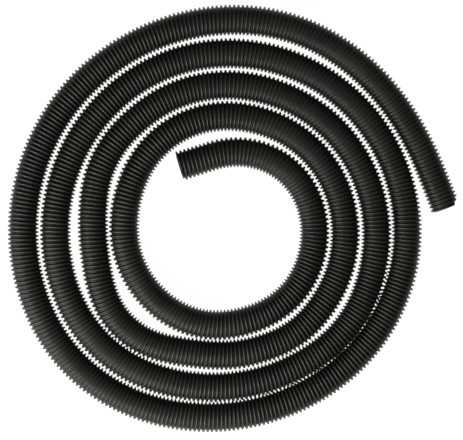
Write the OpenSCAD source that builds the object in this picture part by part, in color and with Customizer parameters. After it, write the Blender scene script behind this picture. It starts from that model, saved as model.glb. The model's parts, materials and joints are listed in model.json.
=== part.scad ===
// Ribbed vacuum hose, coiled flat for storage, both ends cut plain.
// All sizes are millimetres. Z is up and the hose lies on the plane z = 0.

/* [Hose] */
// Inside diameter of the hose
bore_d = 38; // [25:0.5:50]
// Thickness of the flexible web between two turns of the rib
web_t = 1; // [0.6:0.1:2]
// Height of the rib above the web
rib_h = 4; // [1.5:0.25:5]
// Width of the rib where it stands on the web
rib_foot_w = 5.2; // [3:0.1:5.4]
// Width of the rib at its crest
rib_crest_w = 1.8; // [0.4:0.1:2.8]
// Distance along the hose from one turn of the rib to the next
rib_pitch = 6.5; // [5.6:0.1:10]

/* [Plain cut ends] */
// Straight length from the inner opening to the first bend
inner_straight = 54; // [48:1:56]
// Straight length from the last bend to the outer opening
outer_straight = 60; // [48:1:120]
// Length at each opening over which the rib is drawn turn by turn
end_len = 44; // [20:1:48]

/* [Coil] */
// Whole turns in the coil
coil_turns = 4; // [2:1:6]
// Share of a turn that the free tail sweeps after the coil
tail_turn = 0.24; // [0.1:0.01:0.5]
// Radius at which the first turn starts, to the middle of the hose
coil_start_r = 120; // [112:1:200]
// Gap between two neighbouring turns where they lie closest
turn_gap = 1; // [0.8:0.2:30]
// Direction of the coil's start, seen from its centre
coil_start_angle = 102; // [0:1:360]
// Depth by which the ribs are pressed flat on the ground
floor_flat = 0.5; // [0.1:0.1:1]

/* [Detail of the coil] */
// Distance between the ribs drawn on the coil, each one standing for several real ones
drawn_rib_pitch = 41; // [38:1:60]
// Steps in each turn of the rib at the ends
rib_steps = 16; // [12:1:24]

/* [Hidden] */

// The hose lies as it was laid by hand, with one number for each twelfth of a turn: how far the first
// turn strays from an even spiral, then how much looser each later turn lies against the one inside
// it, and last the same for the tail, which swings out at its end.
first_turn_sway = [-5, -4, 0, 4, 2, -1, 0, -4, 2, 1, 2, 0];
turn_looseness = [
    13, 13, 4, 0, 0, 1, 0, 0, 0, 17, 2, 3,
    0, 0, 0, 0, 1, 3, 0, 0, 0, 0, 8, 5,
    0, 0, 3, 2, 1, 0, 0, 0, 0, 0, 1, 1,
];
tail_looseness = [0, 0, 9, 0, 0, 48];
stations_per_turn = 12;

rib_colour = "#262725";
web_colour = "#1c1d1c";

bore_r = bore_d / 2;
web_r = bore_r + web_t;
rib_r = web_r + rib_h;
hose_d = 2 * rib_r;
hose_z = rib_r - floor_flat;
turn_pitch = hose_d + turn_gap;

// Every ring of the coiled stretches is an eight-sided figure with flat sides below, above and beside.
ring_sides = 8;
ring_turn = 180 / ring_sides;

coil_end_t = coil_turns * stations_per_turn;
tail_end_t = coil_end_t + tail_turn * stations_per_turn;
steps_per_station = 8;
small_t = 0.001;

inner_lead = inner_straight - end_len;
outer_lead = outer_straight - end_len;

// Clearance under the rib at the ends, and how far a cutter runs past what it cuts.
rib_seat_gap = 0.02;
cut_past = 1;

// ---- Centreline: a spiral whose radius is a smooth curve over the stations ----

// Turns past the last row of the looseness lie like that row.
function coil_looseness(k) =
    let (rows_end = len(turn_looseness))
    turn_looseness[k < rows_end ? k : rows_end - stations_per_turn + k % stations_per_turn];
function looseness(k) =
    k < coil_end_t
        ? coil_looseness(k - stations_per_turn)
        : tail_looseness[min(k - coil_end_t, len(tail_looseness) - 1)];
function station(k) =
    k < stations_per_turn
        ? coil_start_r + turn_pitch * k / stations_per_turn + first_turn_sway[k]
        : station(k - stations_per_turn) + turn_pitch + looseness(k);
station_r = [for (k = [0 : ceil(tail_end_t) + 2]) station(k)];

// A cubic B-spline over four neighbouring stations; t counts stations from the coil's start.
function spiral_r(t) =
    let (
        i = min(floor(t), len(station_r) - 4),
        f = t - i
    )
    (
        pow(1 - f, 3) * station_r[i]
        + (3 * pow(f, 3) - 6 * pow(f, 2) + 4) * station_r[i + 1]
        + (-3 * pow(f, 3) + 3 * pow(f, 2) + 3 * f + 1) * station_r[i + 2]
        + pow(f, 3) * station_r[i + 3]
    ) / 6;

function spiral_point(t) =
    let (angle = coil_start_angle - 360 * t / stations_per_turn)
    spiral_r(t) * [cos(angle), sin(angle), 0];

function unit(v) = v / norm(v);
function spiral_heading(t) =
    let (a = max(0, t - small_t), b = min(tail_end_t, t + small_t))
    unit(spiral_point(b) - spiral_point(a));

// Length along the spiral against t, so that ribs can be set at even distances.
sample_count = ceil(tail_end_t * steps_per_station);
function sample_t(i) = tail_end_t * i / sample_count;
function chord(i) = norm(spiral_point(sample_t(i + 1)) - spiral_point(sample_t(i)));
t_of_length = [
    for (i = 0, s = 0; i <= sample_count; s = s + chord(i), i = i + 1) [s, sample_t(i)]
];
length_of_t = [for (pair = t_of_length) [pair[1], pair[0]]];
coil_end_s = lookup(coil_end_t, length_of_t);
tail_end_s = lookup(tail_end_t, length_of_t);

// Middle of the hose and its heading at a length s; the straight leads run on past both bends.
function middle(s) =
    let (inside_s = max(0, min(tail_end_s, s)), t = lookup(inside_s, t_of_length))
    spiral_point(t) + (s - inside_s) * spiral_heading(t);
function heading(s) = spiral_heading(lookup(max(0, min(tail_end_s, s)), t_of_length));
function heading_angle(s) = atan2(heading(s)[1], heading(s)[0]);
function beside(s) = [heading(s)[1], -heading(s)[0], 0];

// ---- Ribbed tube with its bore, as one closed skin of triangles ----

function ring(s, r) =
    let (corner_r = r / cos(ring_turn), across = beside(s), centre = middle(s))
    [
        for (k = [0 : ring_sides - 1])
            let (angle = ring_turn + 2 * ring_turn * k)
            centre + corner_r * (cos(angle) * across + [0, 0, sin(angle)])
    ];

// Two triangles for each side between ring a and ring b, given by their first corners.
function band(a, b) = [
    for (k = [0 : ring_sides - 1])
        let (next = (k + 1) % ring_sides)
        each [[a + k, a + next, b + k], [a + next, b + next, b + k]]
];

function rib_count(from_s, to_s) = round((to_s - from_s) / drawn_rib_pitch);
function outer_rings(from_s, to_s) =
    let (n = rib_count(from_s, to_s))
    [
        for (i = [0 : 2 * n])
            each ring(from_s + (to_s - from_s) * i / (2 * n), i % 2 == 0 ? web_r : rib_r)
    ];
function bore_rings(from_s, to_s) =
    let (n = rib_count(from_s, to_s))
    [for (i = [0 : n]) each ring(from_s + (to_s - from_s) * i / n, bore_r)];

module ribbed_tube(from_s, to_s) {
    n = rib_count(from_s, to_s);
    skin = outer_rings(from_s, to_s);
    last_ring = ring_sides * 2 * n;
    first_bore = len(skin);
    last_bore = first_bore + ring_sides * n;
    polyhedron(
        points = concat(skin, bore_rings(from_s, to_s)),
        faces = concat(
            [for (i = [0 : 2 * n - 1]) each band(ring_sides * i, ring_sides * (i + 1))],
            [
                for (i = [0 : n - 1])
                    each band(first_bore + ring_sides * (i + 1), first_bore + ring_sides * i)
            ],
            band(first_bore, 0),
            band(last_ring, last_bore)
        )
    );
}

// ---- Straight end stretches, built along Z from the coil side to the open end ----

module end_web() {
    difference() {
        cylinder(r = web_r, h = end_len, $fn = 96);
        translate([0, 0, -cut_past])
            cylinder(r = bore_r, h = end_len + 2 * cut_past, $fn = 96);
    }
}

// The rib is one left-hand helix, so a cuff screws on anticlockwise.
rib_turns = (end_len - rib_foot_w) / rib_pitch;
rib_foot_r = web_r / cos(180 / rib_steps) + rib_seat_gap;
rib_section = [
    [rib_foot_r, -rib_foot_w / 2],
    [rib_r, -rib_crest_w / 2],
    [rib_r, rib_crest_w / 2],
    [rib_foot_r, rib_foot_w / 2],
];
section_corners = len(rib_section);
rib_step_count = ceil(rib_turns * rib_steps);

function rib_points() = [
    for (i = [0 : rib_step_count])
        let (turn = rib_turns * i / rib_step_count, angle = -360 * turn)
        for (corner = rib_section)
            [
                corner[0] * cos(angle),
                corner[0] * sin(angle),
                rib_foot_w / 2 + rib_pitch * turn + corner[1]
            ]
];

module end_rib() {
    last = section_corners * rib_step_count;
    polyhedron(
        points = rib_points(),
        faces = concat(
            [[0, 1, 2], [0, 2, 3]],
            [
                for (i = [0 : rib_step_count - 1], k = [0 : section_corners - 1])
                    let (
                        next = (k + 1) % section_corners,
                        a = section_corners * i,
                        b = a + section_corners
                    )
                    each [[a + k, b + k, a + next], [a + next, b + k, b + next]]
            ],
            [[last, last + 2, last + 1], [last, last + 3, last + 2]]
        )
    );
}

inner_face_s = -inner_lead;
outer_face_s = tail_end_s + outer_lead;

module at_inner_end() {
    translate(middle(inner_face_s))
        rotate([0, 90, heading_angle(inner_face_s) + 180])
            children();
}

module at_outer_end() {
    translate(middle(outer_face_s))
        rotate([0, 90, heading_angle(outer_face_s)])
            children();
}

// ---- Placing: the middle of the whole hose's outline is over the origin ----

// Plan of the rib and the rim at the outer end, which is the hose's furthest reach.
function in_plan(p) =
    middle(outer_face_s) + p[2] * heading(outer_face_s) - p[1] * beside(outer_face_s);
outer_tip = [
    for (p = concat(rib_points(), [[0, -web_r, end_len], [0, web_r, end_len]])) in_plan(p)
];
outline = concat(
    outer_rings(inner_face_s, coil_end_s),
    outer_rings(coil_end_s, outer_face_s),
    outer_tip
);
outline_x = [for (p = outline) p[0]];
outline_y = [for (p = outline) p[1]];
centre_x = (min(outline_x) + max(outline_x)) / 2;
centre_y = (min(outline_y) + max(outline_y)) / 2;
placed = [-centre_x, -centre_y, hose_z];

// Takes away what would reach below the ground, so that the ribs stand on small flats.
module standing_on_ground() {
    ground_size = 2 * (max(outline_x) - min(outline_x));
    ground_depth = hose_d;
    difference() {
        translate(placed) children();
        translate([-ground_size / 2, -ground_size / 2, -ground_depth])
            cube([ground_size, ground_size, ground_depth]);
    }
}

// ---- Sub-parts ----

module hose_coil() {
    color(rib_colour)
        standing_on_ground()
            ribbed_tube(inner_face_s, coil_end_s);
}

module hose_tail() {
    color(rib_colour)
        standing_on_ground()
            ribbed_tube(coil_end_s, outer_face_s);
}

module inner_end_web() {
    color(web_colour)
        translate(placed) at_inner_end() end_web();
}

module inner_end_rib() {
    color(rib_colour)
        standing_on_ground() at_inner_end() end_rib();
}

module outer_end_web() {
    color(web_colour)
        translate(placed) at_outer_end() end_web();
}

module outer_end_rib() {
    color(rib_colour)
        standing_on_ground() at_outer_end() end_rib();
}

// ---- Measures ----

// Least gap between neighbouring turns, from points on the middle line less the hose's diameter.
// Each sample is measured against those that lie from nearly one turn to just over one turn on.
turn_samples = steps_per_station * stations_per_turn;
nearest_on = floor(0.8 * turn_samples);
furthest_on = ceil(1.2 * turn_samples);
sample_points = [for (i = [0 : sample_count]) spiral_point(sample_t(i))];
gaps = [
    for (i = [0 : sample_count - nearest_on])
        for (j = [i + nearest_on : min(sample_count, i + furthest_on)])
            norm(sample_points[i] - sample_points[j]) - hose_d
];
hose_length = tail_end_s + inner_straight + outer_straight;
echo(least_gap_between_turns = min(gaps));
echo(hose_length = hose_length);
echo(rib_turns_on_the_hose = hose_length / rib_pitch);

// Places of the open ends and of one flat under the coil, from the origin.
flat_s = inner_face_s + (coil_end_s - inner_face_s) * 0.5 / rib_count(inner_face_s, coil_end_s);
echo(inner_mouth = placed + middle(inner_face_s - end_len), outwards = -heading(inner_face_s));
echo(outer_mouth = placed + middle(outer_face_s + end_len), outwards = heading(outer_face_s));
echo(flat_under_first_rib = placed + middle(flat_s) - [0, 0, hose_z]);

hose_coil();
hose_tail();
inner_end_web();
inner_end_rib();
outer_end_web();
outer_end_rib();
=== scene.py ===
"""The looks of a ribbed vacuum hose that lies coiled flat, both ends cut plain.

The hose is modelled straight along X, as it leaves the winding machine: a thin web with one
left-hand rib wound round it. Both are then bent along the route that the hose was laid in. All
sizes are metres.
"""

import json
import logging
import math
from collections.abc import Iterator, Sequence
from contextlib import contextmanager
from dataclasses import dataclass, field
from enum import Enum

import bpy
import numpy as np
from mathutils import Matrix, Vector


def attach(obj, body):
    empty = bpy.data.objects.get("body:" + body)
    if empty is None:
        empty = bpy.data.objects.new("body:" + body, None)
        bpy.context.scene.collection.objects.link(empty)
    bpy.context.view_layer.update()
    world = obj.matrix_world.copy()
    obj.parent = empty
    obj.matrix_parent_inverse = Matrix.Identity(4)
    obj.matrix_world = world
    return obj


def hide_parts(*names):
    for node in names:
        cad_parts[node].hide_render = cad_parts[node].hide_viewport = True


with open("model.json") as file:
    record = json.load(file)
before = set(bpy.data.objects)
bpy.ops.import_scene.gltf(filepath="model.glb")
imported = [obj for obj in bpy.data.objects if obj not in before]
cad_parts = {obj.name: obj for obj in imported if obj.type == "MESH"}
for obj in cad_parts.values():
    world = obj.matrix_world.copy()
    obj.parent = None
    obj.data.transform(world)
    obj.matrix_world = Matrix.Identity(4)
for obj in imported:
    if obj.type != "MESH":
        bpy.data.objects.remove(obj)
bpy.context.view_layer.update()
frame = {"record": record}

LOG = logging.getLogger("vacuum_hose")
MM = 0.001
FULL_TURN = 2 * math.pi
X_AXIS = Vector((1.0, 0.0, 0.0))
WHITE = (1.0, 1.0, 1.0, 1.0)
BODY = "root"
PLACE = "hose_place"
# The colour sockets of a Mix node share their names with others, so they go by number.
MIX_FIRST, MIX_SECOND, MIX_RESULT = 6, 7, 2

Piece = bpy.types.Object
Socket = bpy.types.NodeSocket


class Slot(Enum):
    """Material slots of the record that the pieces take their finish from."""

    WEB = "hose_web"
    RIB = "hose_rib"


# ---- Modelling helpers -------------------------------------------------------------------------


def pick(piece: Piece) -> None:
    """Leaves this piece alone selected and active.

    Args:
        piece: the object to work on.
    """
    bpy.ops.object.select_all(action="DESELECT")
    piece.select_set(True)
    bpy.context.view_layer.objects.active = piece


def named(name: str) -> Piece:
    """Gives the active object and its mesh one name.

    Args:
        name: the piece's name.

    Returns:
        The active object.
    """
    piece = bpy.context.active_object
    piece.name = name
    piece.data.name = name
    return piece


def settle(piece: Piece) -> None:
    """Moves a piece's place, turn and scale into its mesh.

    Args:
        piece: the object, which ends at the origin, unturned.
    """
    pick(piece)
    bpy.ops.object.transform_apply(location=True, rotation=True, scale=True)


def finish_with(piece: Piece, kind: str, **settings: object) -> None:
    """Adds a modifier with its settings and applies it.

    Args:
        piece: the object that takes the modifier.
        kind: the modifier's type.
        **settings: its properties.
    """
    pick(piece)
    bpy.ops.object.modifier_add(type=kind)
    modifier = piece.modifiers[-1]
    for key, value in settings.items():
        setattr(modifier, key, value)
    bpy.ops.object.modifier_apply(modifier=modifier.name)


def copied(piece: Piece, name: str) -> Piece:
    """Copies a piece with its own mesh.

    Args:
        piece: the object to copy.
        name: the copy's name.

    Returns:
        The copy, selected and active.
    """
    pick(piece)
    bpy.ops.object.duplicate(linked=False)
    return named(name)


def vertex_places(piece: Piece) -> np.ndarray:
    """The places of a mesh's vertices, one row each.

    Args:
        piece: a mesh object.

    Returns:
        An array of n rows and 3 columns.
    """
    flat = np.empty(len(piece.data.vertices) * 3)
    piece.data.vertices.foreach_get("co", flat)
    return flat.reshape(-1, 3)


def set_vertex_places(piece: Piece, places: np.ndarray) -> None:
    """Moves every vertex of a mesh.

    Args:
        piece: a mesh object.
        places: an array of n rows and 3 columns.
    """
    piece.data.vertices.foreach_set("co", places.ravel())
    piece.data.update()


def remember_place(piece: Piece) -> None:
    """Keeps each point's place on the straight hose, which patterns follow once it is bent.

    Args:
        piece: a mesh object, still straight along X.
    """
    layer = piece.data.attributes.new(PLACE, "FLOAT_VECTOR", "POINT")
    layer.data.foreach_set("vector", vertex_places(piece).ravel())


@contextmanager
def edited(piece: Piece) -> Iterator[None]:
    """Holds a piece in edit mode, with all of its mesh selected at first.

    Args:
        piece: a mesh object.
    """
    pick(piece)
    bpy.ops.object.mode_set(mode="EDIT")
    bpy.ops.mesh.select_all(action="SELECT")
    yield
    bpy.ops.object.mode_set(mode="OBJECT")


def cut(piece: Piece, place: Sequence[float], away: Sequence[float]) -> None:
    """Cuts a piece with one straight stroke of a knife and closes the cut.

    Args:
        piece: a mesh object.
        place: a point that the blade goes through.
        away: the direction, square to the blade, of the side that falls off.
    """
    with edited(piece):
        bpy.ops.mesh.bisect(plane_co=place, plane_no=away, use_fill=True, clear_outer=True)


def close_ends(piece: Piece) -> None:
    """Fills the open ends of a swept piece and turns all faces outwards.

    Args:
        piece: a mesh object whose only holes are its ends.
    """
    with edited(piece):
        bpy.ops.mesh.fill_holes(sides=0)
        bpy.ops.mesh.select_all(action="SELECT")
        bpy.ops.mesh.normals_make_consistent(inside=False)


def press_on_ground(piece: Piece) -> None:
    """Flattens what would reach below the ground, as the hose's weight does.

    Args:
        piece: a mesh object in its final place.
    """
    places = vertex_places(piece)
    places[:, 2] = np.maximum(places[:, 2], 0.0)
    set_vertex_places(piece, places)


def shade(piece: Piece, sharp_from_degrees: float) -> None:
    """Shades smooth, except across edges sharper than the angle.

    Args:
        piece: a mesh object.
        sharp_from_degrees: the least angle that stays a crisp edge.
    """
    pick(piece)
    bpy.ops.object.shade_smooth_by_angle(angle=math.radians(sharp_from_degrees))


# ---- Sizes and route ---------------------------------------------------------------------------


@dataclass(frozen=True)
class HoseSizes:
    """Sizes of the hose itself.

    Attributes:
        bore_radius: radius of the open bore.
        web_thickness: wall of the web.
        rib_height: height of the rib above the web.
        rib_pitch: distance from one turn of the rib to the next.
        floor_flat: how much of the rib's crest the ground presses flat.
        sides: faces round the hose.
    """

    bore_radius: float = 19 * MM
    web_thickness: float = 1 * MM
    rib_height: float = 4 * MM
    rib_pitch: float = 6.5 * MM
    floor_flat: float = 0.5 * MM
    sides: int = 24

    @property
    def web_radius(self) -> float:
        """Outside radius of the web."""
        return self.bore_radius + self.web_thickness

    @property
    def rib_radius(self) -> float:
        """Radius at the rib's crest."""
        return self.web_radius + self.rib_height

    @property
    def diameter(self) -> float:
        """Width over the ribs."""
        return 2 * self.rib_radius

    @property
    def axis_height(self) -> float:
        """Height of the middle line above the ground."""
        return self.rib_radius - self.floor_flat


@dataclass(frozen=True)
class Nudge:
    """A short stretch where one turn was pushed aside.

    Attributes:
        station: where it was pushed the most, in stations from the coil's start.
        reach: how many stations to either side of that still moved.
        outwards: how far it was pushed away from the coil's centre.
    """

    station: float
    reach: float
    outwards: float

    def at(self, t: float) -> float:
        """How far the stretch moves a point of the spiral.

        Args:
            t: stations from the coil's start.

        Returns:
            The move away from the coil's centre, in metres.
        """
        share = min(abs(t - self.station) / self.reach, 1.0)
        return self.outwards * (1 + math.cos(math.pi * share)) / 2


@dataclass
class Route:
    """The middle line: straight end, clockwise spiral as laid by hand, tail, straight end.

    The spiral's radius is a smooth curve over stations, a twelfth of a turn apart. After the first
    turn, each station lies on the one a turn before it, so that the coil keeps its packing when a
    size changes.
    """

    sizes: HoseSizes
    inner_mouth: Vector
    turn_gap: float = 1.0 * MM
    coil_start_radius: float = 120 * MM
    start_degrees: float = 102.0
    coil_turns: int = 4
    tail_turn: float = 0.24
    inner_straight: float = 54 * MM
    outer_straight: float = 60 * MM
    stations_per_turn: int = 12
    steps_per_station: int = 40
    point_spacing: float = 6 * MM
    # Points that are at least so far apart along the hose are on different turns.
    next_turn_from: float = 360 * MM
    # Left open between a rib and the halfway plane to the next turn, where the two are pressed.
    press_gap: float = 0.1 * MM
    # Room on a side where no turn lies.
    open_side: float = 1.0
    # Millimetres for each twelfth of a turn: how far the first turn strays from an even spiral,
    # then how much looser each later turn lies against the one inside it, and the same for the
    # tail.
    first_turn_sway: tuple[int, ...] = (-5, -4, 0, 4, 2, -1, 0, -4, 2, 1, 2, 0)
    turn_looseness: tuple[int, ...] = (
        *(13, 13, 4, 0, 0, 1, 0, 0, 0, 17, 2, 3),
        *(0, 0, 0, 0, 1, 3, 0, 0, 0, 0, 8, 5),
        *(0, 0, 3, 2, 1, 0, 0, 0, 0, 0, 1, 1),
    )
    tail_looseness: tuple[int, ...] = (0, 0, 9, 0, 0, 48)
    # Where the hose strays from those rows between their stations. The last two press the two
    # outermost turns together, until their ribs mesh.
    nudges: tuple[Nudge, ...] = (
        Nudge(station=17.3, reach=0.8, outwards=2 * MM),
        Nudge(station=18.9, reach=0.9, outwards=-3 * MM),
        Nudge(station=20.0, reach=1.1, outwards=4 * MM),
        Nudge(station=21.2, reach=1.1, outwards=-3.5 * MM),
        Nudge(station=22.4, reach=0.9, outwards=3 * MM),
        Nudge(station=28.7, reach=1.0, outwards=3.2 * MM),
        Nudge(station=41.3, reach=2.2, outwards=-4 * MM),
    )
    points: np.ndarray = field(init=False)

    def __post_init__(self) -> None:
        """Works out the line's points, evenly spaced from the inner mouth to the outer."""
        steps = round(self.tail_end * self.steps_per_station)
        spiral = np.array([self.spiral_point(self.tail_end * i / steps) for i in range(steps + 1)])
        inner_out = self.outwards(spiral[0], spiral[1])
        outer_out = self.outwards(spiral[-1], spiral[-2])
        mouth = spiral[0] + inner_out * self.inner_straight
        line = np.vstack([mouth, spiral, spiral[-1] + outer_out * self.outer_straight])
        line += np.array(self.inner_mouth[:2]) - mouth
        run = np.append(0, np.cumsum(np.linalg.norm(np.diff(line, axis=0), axis=1)))
        even = np.linspace(0, run[-1], round(run[-1] / self.point_spacing) + 1)
        flat = np.column_stack([np.interp(even, run, line[:, axis]) for axis in (0, 1)])
        self.points = np.column_stack([flat, np.full(len(flat), self.sizes.axis_height)])

    @staticmethod
    def outwards(end: np.ndarray, before: np.ndarray) -> np.ndarray:
        """Unit direction in which the line leaves at one end, from the point before it."""
        return (end - before) / np.linalg.norm(end - before)

    @property
    def tail_end(self) -> float:
        """Where the tail's bend ends, in stations."""
        return (self.coil_turns + self.tail_turn) * self.stations_per_turn

    @property
    def length(self) -> float:
        """Length along the middle line."""
        return float(np.linalg.norm(np.diff(self.points, axis=0), axis=1).sum())

    def station_radius(self, k: int) -> float:
        """Radius of one station of the spiral, as the hose was laid by hand.

        Args:
            k: the station's number from the coil's start.

        Returns:
            The radius in metres.
        """
        turn_pitch = self.sizes.diameter + self.turn_gap
        one_turn = self.stations_per_turn
        if k < one_turn:
            sway = self.first_turn_sway[k] * MM
            return self.coil_start_radius + turn_pitch * k / one_turn + sway
        coil_end = self.coil_turns * one_turn
        if k < coil_end:
            looser = self.turn_looseness[k - one_turn]
        else:
            looser = self.tail_looseness[min(k - coil_end, len(self.tail_looseness) - 1)]
        return self.station_radius(k - one_turn) + turn_pitch + looser * MM

    def spiral_point(self, t: float) -> np.ndarray:
        """A point of the spiral, about its own centre, from a cubic B-spline over the stations.

        Args:
            t: stations from the coil's start.

        Returns:
            X and Y in metres.
        """
        i = min(int(t), math.ceil(self.tail_end) - 1)
        f = t - i
        weights = (
            (1 - f) ** 3,
            3 * f**3 - 6 * f**2 + 4,
            -3 * f**3 + 3 * f**2 + 3 * f + 1,
            f**3,
        )
        radius = sum(w * self.station_radius(i + j) for j, w in enumerate(weights)) / 6
        radius += sum(nudge.at(t) for nudge in self.nudges)
        angle = math.radians(self.start_degrees) - FULL_TURN * t / self.stations_per_turn
        return radius * np.array([math.cos(angle), math.sin(angle)])

    def room_beside(self, along: np.ndarray) -> tuple[np.ndarray, np.ndarray]:
        """How far the hose can spread to either side before it meets the next turn.

        Args:
            along: distances from the inner mouth.

        Returns:
            The room towards the coil's centre and away from it, at each distance.
        """
        count = len(self.points)
        apart = np.linalg.norm(self.points[:, None] - self.points[None], axis=2)
        order = np.arange(count)
        ahead = order[None] - order[:, None]
        least = round(self.next_turn_from / self.point_spacing)
        runs = self.length / (count - 1) * order
        rooms = []
        for side in (ahead < -least, ahead > least):
            halfway = np.where(side, apart, np.inf).min(axis=1) / 2
            room = np.minimum(halfway - self.press_gap, self.open_side)
            rooms.append(np.interp(along, runs, room))
        return rooms[0], rooms[1]

    def as_curve(self) -> Piece:
        """The line as a curve object, for bending what was modelled straight.

        Returns:
            A curve of one open spline, in place.
        """
        curve = bpy.data.curves.new("hose_route", "CURVE")
        curve.dimensions = "3D"
        curve.twist_mode = "Z_UP"
        spline = curve.splines.new("POLY")
        spline.points.add(len(self.points) - 1)
        spline.points.foreach_set(
            "co", np.column_stack([self.points, np.ones(len(self.points))]).ravel()
        )
        line = bpy.data.objects.new("hose_route", curve)
        bpy.context.scene.collection.objects.link(line)
        return line


# ---- The hose ----------------------------------------------------------------------------------


@dataclass
class HoseWeb:
    """The thin tube between and under the rib's turns, with the open bore inside it."""

    sizes: HoseSizes
    length: float
    ring_spacing: float = 6 * MM
    weld_within: float = 0.01 * MM
    ragged: float = 0.22 * MM
    # The knife's waver: each wave's strength, how often it goes round the rim, and its phase.
    waver: tuple[tuple[float, int, float], ...] = ((1.0, 2, 0.7), (0.6, 5, 0.0), (0.5, 9, 2.0))

    def straight(self) -> Piece:
        """Models the web straight along X from the inner mouth to the outer.

        Returns:
            A closed tube with its wall's true thickness.
        """
        rings = round(self.length / self.ring_spacing)
        step = self.length / rings
        bpy.ops.mesh.primitive_cylinder_add(
            vertices=self.sizes.sides,
            radius=self.sizes.web_radius,
            depth=step,
            end_fill_type="NOTHING",
            location=(step / 2, 0, 0),
            rotation=(0, math.pi / 2, 0),
        )
        web = named("hose_web")
        settle(web)
        finish_with(
            web,
            "ARRAY",
            count=rings,
            use_relative_offset=False,
            use_constant_offset=True,
            constant_offset_displace=(step, 0, 0),
            use_merge_vertices=True,
            merge_threshold=self.weld_within,
        )
        finish_with(
            web,
            "SOLIDIFY",
            thickness=self.sizes.web_thickness,
            offset=-1,
            use_even_offset=True,
        )
        self.trim_by_knife(web)
        return web

    def trim_by_knife(self, web: Piece) -> None:
        """Leaves both cut edges a little uneven, as a knife does.

        Args:
            web: the straight tube.
        """
        places = vertex_places(web)
        around = np.arctan2(places[:, 2], places[:, 1])
        wave = sum(share * np.sin(count * around + phase) for share, count, phase in self.waver)
        for end, side in ((0.0, 1), (self.length, -1)):
            rim = np.abs(places[:, 0] - end) < self.ragged
            places[rim, 0] += side * self.ragged * (1 + wave[rim] / 2)
        set_vertex_places(web, places)


@dataclass
class HoseRib:
    """The single left-hand rib, wound on in one start, with a narrow crest."""

    sizes: HoseSizes
    length: float
    # Half of the section in millimetres, from the foot to the crest: distance from the rib's
    # middle, and height above the web.
    half_section: tuple[tuple[float, float], ...] = (
        (2.95, -0.3),
        (2.3, 0.5),
        (1.6, 2.1),
        (0.8, 4.0),
    )

    def section(self) -> list[tuple[float, float]]:
        """The whole section, in order round it.

        Returns:
            Distance along the hose and height above the web, in metres.
        """
        rise = [(-x, h) for x, h in self.half_section]
        fall = [(x, h) for x, h in reversed(self.half_section)]
        return [(x * MM, h * MM) for x, h in [*rise, *fall]]

    def wound(self, turns: int) -> Piece:
        """Winds a stretch of rib along X, from one turn before the inner mouth.

        Args:
            turns: how many whole turns it has.

        Returns:
            An open swept strip, its section closed and its two ends open.
        """
        section = self.section()
        bpy.ops.mesh.primitive_circle_add(vertices=len(section), radius=self.sizes.rib_height)
        rib = named("hose_rib")
        start = -self.sizes.rib_pitch
        foot = self.sizes.web_radius
        set_vertex_places(rib, np.array([(start + x, 0.0, foot + height) for x, height in section]))
        finish_with(
            rib,
            "SCREW",
            axis="X",
            angle=-FULL_TURN,
            screw_offset=self.sizes.rib_pitch,
            iterations=turns,
            steps=self.sizes.sides,
            render_steps=self.sizes.sides,
            use_smooth_shade=True,
        )
        return rib

    def straight(self) -> list[Piece]:
        """Models the rib in two stretches of equal turns, each cut square at its mouth.

        Returns:
            The inner stretch and the outer one, closed.
        """
        pitch = self.sizes.rib_pitch
        turns = math.ceil((self.length / pitch + 1) / 2) + 1
        inner = self.wound(turns)
        outer = copied(inner, "hose_rib_outer")
        inner.name = inner.data.name = "hose_rib_inner"
        outer.data.transform(Matrix.Translation((turns * pitch, 0, 0)))
        cut(inner, (0, 0, 0), -X_AXIS)
        cut(outer, (self.length, 0, 0), X_AXIS)
        for stretch in (inner, outer):
            close_ends(stretch)
        return [inner, outer]


@dataclass
class Hose:
    """The whole hose: its web, its rib and the route that it lies along."""

    sizes: HoseSizes
    route: Route
    # A second, slanting stroke took a corner off the free end: a point of the blade, past that end
    # and outwards from the middle line, and the direction of the side that fell off.
    stroke_through: tuple[float, float] = (0.0, 9.5 * MM)
    stroke_away: tuple[float, float] = (14.0, 8.0)
    # Only edges sharper than this stay crisp, such as those of the cut rims.
    crisp_from_degrees: float = 80.0

    def build(self) -> tuple[Piece, list[Piece]]:
        """Models the hose straight and lays it along its route.

        Returns:
            The web, and the two stretches of rib.
        """
        length = self.route.length
        web = HoseWeb(self.sizes, length).straight()
        ribs = HoseRib(self.sizes, length).straight()
        line = self.route.as_curve()
        past_end, sideways = self.stroke_through
        for piece in (web, ribs[1]):
            cut(piece, (length + past_end, sideways, 0), (*self.stroke_away, 0))
        for piece in (web, *ribs):
            remember_place(piece)
            self.press_between_turns(piece)
            finish_with(piece, "CURVE", object=line, deform_axis="POS_X")
            press_on_ground(piece)
            shade(piece, self.crisp_from_degrees)
        bpy.data.objects.remove(line)
        return web, ribs

    def press_between_turns(self, piece: Piece) -> None:
        """Flattens the rib's crest where it meets the next turn's, halfway between the two.

        Args:
            piece: a mesh object, still straight along X, whose +Y side will face away from the
                coil's centre.
        """
        places = vertex_places(piece)
        inwards, outwards = self.route.room_beside(places[:, 0])
        places[:, 1] = np.clip(places[:, 1], -inwards, outwards)
        set_vertex_places(piece, places)

    def declare(self, web: Piece, ribs: list[Piece]) -> None:
        """Attaches each piece to the root body, and hides the CAD parts that the pieces stand in
        for.

        Args:
            web: the tube.
            ribs: the inner and the outer stretch of rib.
        """
        for piece in (web, *ribs):
            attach(piece, BODY)
        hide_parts("hose_coil", "hose_tail", "inner_end_web", "outer_end_web")
        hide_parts("inner_end_rib")
        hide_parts("outer_end_rib")


# ---- Finishes ----------------------------------------------------------------------------------


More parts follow.
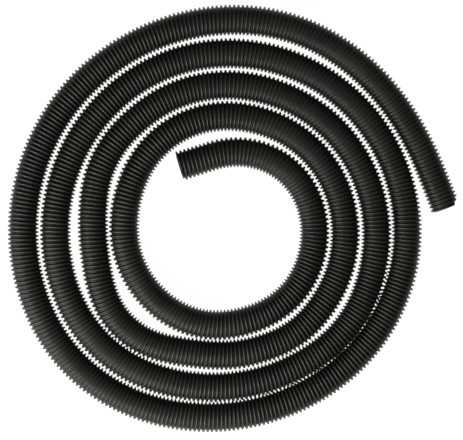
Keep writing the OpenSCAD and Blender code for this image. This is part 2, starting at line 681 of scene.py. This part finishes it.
def linear(sheet: str) -> tuple[float, float, float, float]:
    """Turns an sRGB colour into linear light.

    Args:
        sheet: the colour as a hex value, such as #1d1d1c.

    Returns:
        Red, green, blue and an alpha of 1.
    """
    channels = [int(sheet[i : i + 2], 16) / 255 for i in (1, 3, 5)]
    light = [c / 12.92 if c <= 0.04045 else ((c + 0.055) / 1.055) ** 2.4 for c in channels]
    return (*light, 1.0)


def add_node(
    material: bpy.types.Material,
    kind: str,
    settings: dict[str, object] | None = None,
    inputs: dict[str | int, object] | None = None,
) -> bpy.types.Node:
    """Adds a node with its settings, its values and its links.

    Args:
        material: the material that holds the node.
        kind: the node's type, without the ShaderNode in front.
        settings: its properties.
        inputs: socket by name or number, each a value or another node's output socket.

    Returns:
        The new node.
    """
    tree = material.node_tree
    node = tree.nodes.new("ShaderNode" + kind)
    for key, value in (settings or {}).items():
        setattr(node, key, value)
    for key, value in (inputs or {}).items():
        if isinstance(value, bpy.types.NodeSocket):
            tree.links.new(value, node.inputs[key])
        else:
            node.inputs[key].default_value = value
    return node


def new_material(name: str) -> bpy.types.Material:
    """Makes an empty node material.

    Args:
        name: what the finish is called.

    Returns:
        The material with no nodes.
    """
    material = bpy.data.materials.new(name)
    material.use_nodes = True
    material.node_tree.nodes.clear()
    return material


@dataclass(frozen=True)
class Unevenness:
    """Something that comes and goes over the hose, such as fading or dust.

    Attributes:
        along: its usual spacing along the hose.
        around: its usual spacing across and round the hose.
        detail: how fine its smallest parts are, in halvings.
        starts: the value of the pattern where it begins to show.
        full: the value where it shows in full.
    """

    along: float
    around: float
    detail: float
    starts: float = 0.35
    full: float = 0.65

    def pattern(self, material: bpy.types.Material, place: Socket) -> Socket:
        """Adds the bare pattern to a material.

        Args:
            material: the material that takes it.
            place: the place on the straight hose.

        Returns:
            A value from 0 to 1 that is mostly near a half.
        """
        scale = (1 / self.along, 1 / self.around, 1 / self.around)
        stretched = add_node(material, "Mapping", inputs={"Vector": place, "Scale": scale})
        return add_node(
            material,
            "TexNoise",
            inputs={"Vector": stretched.outputs[0], "Scale": 1.0, "Detail": self.detail},
        ).outputs["Fac"]

    def between(
        self, material: bpy.types.Material, place: Socket, least: float, most: float
    ) -> Socket:
        """Adds the pattern as an amount.

        Args:
            material: the material that takes it.
            place: the place on the straight hose.
            least: the amount up to where it starts.
            most: the amount where it shows in full.

        Returns:
            The amount.
        """
        return add_node(
            material,
            "MapRange",
            inputs={
                "Value": self.pattern(material, place),
                "From Min": self.starts,
                "From Max": self.full,
                "To Min": least,
                "To Max": most,
            },
        ).outputs[0]


@dataclass(frozen=True)
class WoundEva:
    """Black EVA plastic, extruded and wound hot: satin, with fine lines that follow the winding."""

    name: str
    body: str = "#222221"
    faded: str = "#2b2b29"
    rubbed: str = "#3a3a37"
    dust: str = "#5a5852"
    ior: float = 1.49
    roughness: float = 0.52
    rub_share: float = 0.5
    dust_share: float = 0.35
    # From this share of the rib's height upwards, the crest is rubbed.
    crest_from: float = 0.6
    line_depth: float = 0.03 * MM
    grain_share: float = 0.35
    # How much smoother or rougher than the rest the unfaded and the faded stretches are.
    fade_roughness: tuple[float, float] = (-0.04, 0.06)
    turn_roughness: float = 0.05
    # The plastic fades in broad stretches of a hand's width.
    fading: Unevenness = Unevenness(60 * MM, 40 * MM, 3.0, starts=0.35, full=0.7)
    # Crests are scuffed paler where they have dragged over floors.
    scuffs: Unevenness = Unevenness(9 * MM, 12 * MM, 5.0, starts=0.45, full=0.7)
    # Fine dust sits in specks of half a millimetre, drawn twice that size so that it shows.
    specks: Unevenness = Unevenness(1 * MM, 1 * MM, 2.0, starts=0.7, full=0.78)
    # Extrusion lines run round the hose with the winding, over the plastic's fine grain.
    lines: Unevenness = Unevenness(0.5 * MM, 25 * MM, 2.0)
    grain: Unevenness = Unevenness(0.25 * MM, 0.25 * MM, 1.0)
    # One turn comes out a little smoother than the next.
    turns: Unevenness = Unevenness(3 * MM, 60 * MM, 1.0)

    def material(self, sizes: HoseSizes) -> bpy.types.Material:
        """Builds the finish for one part of the hose.

        Args:
            sizes: the hose's sizes, from which the crest is found.

        Returns:
            The material.
        """
        m = new_material(self.name)
        place = add_node(m, "Attribute", {"attribute_name": PLACE}).outputs["Vector"]
        fading = self.fading.between(m, place, 0.0, 1.0)
        shader = add_node(
            m,
            "BsdfPrincipled",
            inputs={
                "Base Color": self.colour(m, place, fading, self.crest(m, place, sizes)),
                "Roughness": self.gloss(m, place, fading),
                "IOR": self.ior,
                "Normal": self.relief(m, place),
            },
        )
        add_node(m, "OutputMaterial", inputs={"Surface": shader.outputs[0]})
        return m

    def crest(self, m: bpy.types.Material, place: Socket, sizes: HoseSizes) -> Socket:
        """Finds the rib's crest.

        Args:
            m: the material.
            place: the place on the straight hose.
            sizes: the hose's sizes.

        Returns:
            0 on the web and up to 1 at the crest.
        """
        axes = add_node(m, "SeparateXYZ", inputs={0: place})
        across = add_node(
            m, "CombineXYZ", inputs={"Y": axes.outputs["Y"], "Z": axes.outputs["Z"]}
        )
        radius = add_node(m, "VectorMath", {"operation": "LENGTH"}, {0: across.outputs[0]})
        return add_node(
            m,
            "MapRange",
            {"interpolation_type": "SMOOTHSTEP"},
            {
                "Value": radius.outputs["Value"],
                "From Min": sizes.web_radius + self.crest_from * sizes.rib_height,
                "From Max": sizes.rib_radius,
            },
        ).outputs[0]

    def colour(self, m: bpy.types.Material, place: Socket, fading: Socket, crest: Socket) -> Socket:
        """Lays fading, rubbed crests and dust over the black.

        Args:
            m: the material.
            place: the place on the straight hose.
            fading: how faded it is, from 0 to 1.
            crest: how near the crest it is, from 0 to 1.

        Returns:
            The colour.
        """
        scuffs = self.scuffs.between(m, place, 0.0, self.rub_share)
        rubbing = add_node(m, "Math", {"operation": "MULTIPLY"}, {0: crest, 1: scuffs}).outputs[0]
        dust = self.specks.between(m, place, 0.0, self.dust_share)
        colour = linear(self.body)
        for share, tone in ((fading, self.faded), (rubbing, self.rubbed), (dust, self.dust)):
            colour = add_node(
                m,
                "Mix",
                {"data_type": "RGBA"},
                {"Factor": share, MIX_FIRST: colour, MIX_SECOND: linear(tone)},
            ).outputs[MIX_RESULT]
        return colour

    def gloss(self, m: bpy.types.Material, place: Socket, fading: Socket) -> Socket:
        """Makes faded stretches rougher, and one turn a little smoother than the next.

        Args:
            m: the material.
            place: the place on the straight hose.
            fading: how faded it is, from 0 to 1.

        Returns:
            The roughness.
        """
        smoother, rougher = self.fade_roughness
        worn = add_node(
            m,
            "MapRange",
            inputs={
                "Value": fading,
                "To Min": self.roughness + smoother,
                "To Max": self.roughness + rougher,
            },
        ).outputs[0]
        turns = self.turns.between(m, place, -self.turn_roughness, self.turn_roughness)
        return add_node(m, "Math", {"operation": "ADD"}, {0: worn, 1: turns}).outputs[0]

    def relief(self, m: bpy.types.Material, place: Socket) -> Socket:
        """Raises the extrusion lines and the grain.

        Args:
            m: the material.
            place: the place on the straight hose.

        Returns:
            The surface's direction.
        """
        height = add_node(
            m,
            "Math",
            {"operation": "MULTIPLY_ADD"},
            {0: self.grain.pattern(m, place), 1: self.grain_share, 2: self.lines.pattern(m, place)},
        )
        return add_node(
            m,
            "Bump",
            inputs={"Height": height.outputs[0], "Distance": self.line_depth, "Strength": 1.0},
        ).outputs[0]


# ---- Stage -------------------------------------------------------------------------------------


@dataclass(frozen=True)
class Softbox:
    """One square area lamp: where it stands from the coil's middle, its width and its power."""

    name: str
    place: tuple[float, float, float]
    width: float
    watts: float


@dataclass
class Studio:
    """White floor, soft lamps and the camera straight above, leaning a little to the left."""

    sizes: HoseSizes
    # The camera looks at this place on the hose's middle plane, from this far.
    aim: tuple[float, float] = (-8.0 * MM, -2.2 * MM)
    distance: float = 1.902
    lean_degrees: float = 5.0
    frame_width_px: int = 463
    focal_px: float = 1200.0
    sensor_width_mm: float = 36.0
    floor_size: float = 12.0
    floor_colour: str = "#8c8c8c"
    # The camera sees this much light come from the floor, on top of what the lamps give it.
    floor_glow: float = 0.96
    world_strength: float = 0.08
    lamps: tuple[Softbox, ...] = (
        Softbox("key_left", (-1.25, -0.75, 0.75), 0.9, 25.0),
        Softbox("key_front", (-0.55, -1.35, 0.95), 0.9, 15.5),
        Softbox("fill_top", (0.4, 0.6, 2.4), 1.6, 5.5),
    )

    def build(self) -> None:
        """Sets up the floor, world, lamps and camera."""
        bpy.context.scene.view_settings.view_transform = "Standard"
        self.lay_floor()
        self.light()
        self.place_camera()

    def lay_floor(self) -> None:
        """A plain floor that the camera sees white, with the hose's shadow kept on it."""
        bpy.ops.mesh.primitive_plane_add(size=self.floor_size, location=(0, 0, 0))
        floor = named("floor")
        m = new_material("matt_white_floor")
        matt = add_node(m, "BsdfDiffuse", inputs={"Color": linear(self.floor_colour)})
        path = add_node(m, "LightPath")
        seen = path.outputs["Is Camera Ray"]
        for ray in ("Is Glossy Ray", "Is Transmission Ray"):
            either = add_node(m, "Math", {"operation": "MAXIMUM"}, {0: seen, 1: path.outputs[ray]})
            seen = either.outputs[0]
        lift = add_node(m, "Math", {"operation": "MULTIPLY"}, {0: seen, 1: self.floor_glow})
        glow = add_node(m, "Emission", inputs={"Color": WHITE, "Strength": lift.outputs[0]})
        both = add_node(m, "AddShader", inputs={0: matt.outputs[0], 1: glow.outputs[0]})
        add_node(m, "OutputMaterial", inputs={"Surface": both.outputs[0]})
        floor.data.materials.append(m)

    def light(self) -> None:
        """Dim even light from all round, and the softboxes."""
        world = bpy.data.worlds.new("studio")
        bpy.context.scene.world = world
        world.use_nodes = True
        background = world.node_tree.nodes["Background"]
        background.inputs["Color"].default_value = WHITE
        background.inputs["Strength"].default_value = self.world_strength
        for lamp in self.lamps:
            light = bpy.data.lights.new(lamp.name, "AREA")
            light.shape = "SQUARE"
            light.size = lamp.width
            light.energy = lamp.watts
            stand = bpy.data.objects.new(lamp.name, light)
            bpy.context.scene.collection.objects.link(stand)
            stand.location = lamp.place
            stand.rotation_euler = (-Vector(lamp.place)).to_track_quat("-Z", "Y").to_euler()

    def place_camera(self) -> None:
        """Aims the camera at the hose's middle plane."""
        camera = bpy.data.cameras.new("camera")
        camera.sensor_width = self.sensor_width_mm
        camera.lens = camera.sensor_width * self.focal_px / self.frame_width_px
        lean = math.radians(self.lean_degrees)
        back = Vector((-math.sin(lean), 0, math.cos(lean)))
        holder = bpy.data.objects.new("camera", camera)
        bpy.context.scene.collection.objects.link(holder)
        holder.location = Vector((*self.aim, self.sizes.axis_height)) + self.distance * back
        holder.rotation_euler = (0, -lean, 0)
        bpy.context.scene.camera = holder


# ---- Putting it together -----------------------------------------------------------------------


def mount_place(name: str) -> Vector:
    """Where one of the part's mounts is.

    Args:
        name: the mount's name in the record.

    Returns:
        Its place in metres.
    """
    places = {mount["name"]: mount["pos_m"] for mount in frame["record"]["mounts"]}
    return Vector(places[name])


def main() -> None:
    """Builds the hose, dresses it and sets the stage."""
    logging.basicConfig(level=logging.INFO, format="%(name)s: %(message)s")
    sizes = HoseSizes()
    Studio(sizes).build()
    route = Route(sizes, mount_place("inner_end_screw_rib"))
    LOG.info("route: %.3f m, %.0f turns of the rib", route.length, route.length / sizes.rib_pitch)
    hose = Hose(sizes, route)
    web, ribs = hose.build()
    web.data.materials.append(WoundEva("black_eva_web", rub_share=0.0).material(sizes))
    rib_eva = WoundEva("black_eva_rib", roughness=0.43, rub_share=0.15, line_depth=0.012 * MM)
    rib_finish = rib_eva.material(sizes)
    for rib in ribs:
        rib.data.materials.append(rib_finish)
    hose.declare(web, ribs)
    for piece in (web, *ribs):
        LOG.info("%s: %d faces", piece.name, len(piece.data.polygons))


if __name__ == "__main__":
    main()
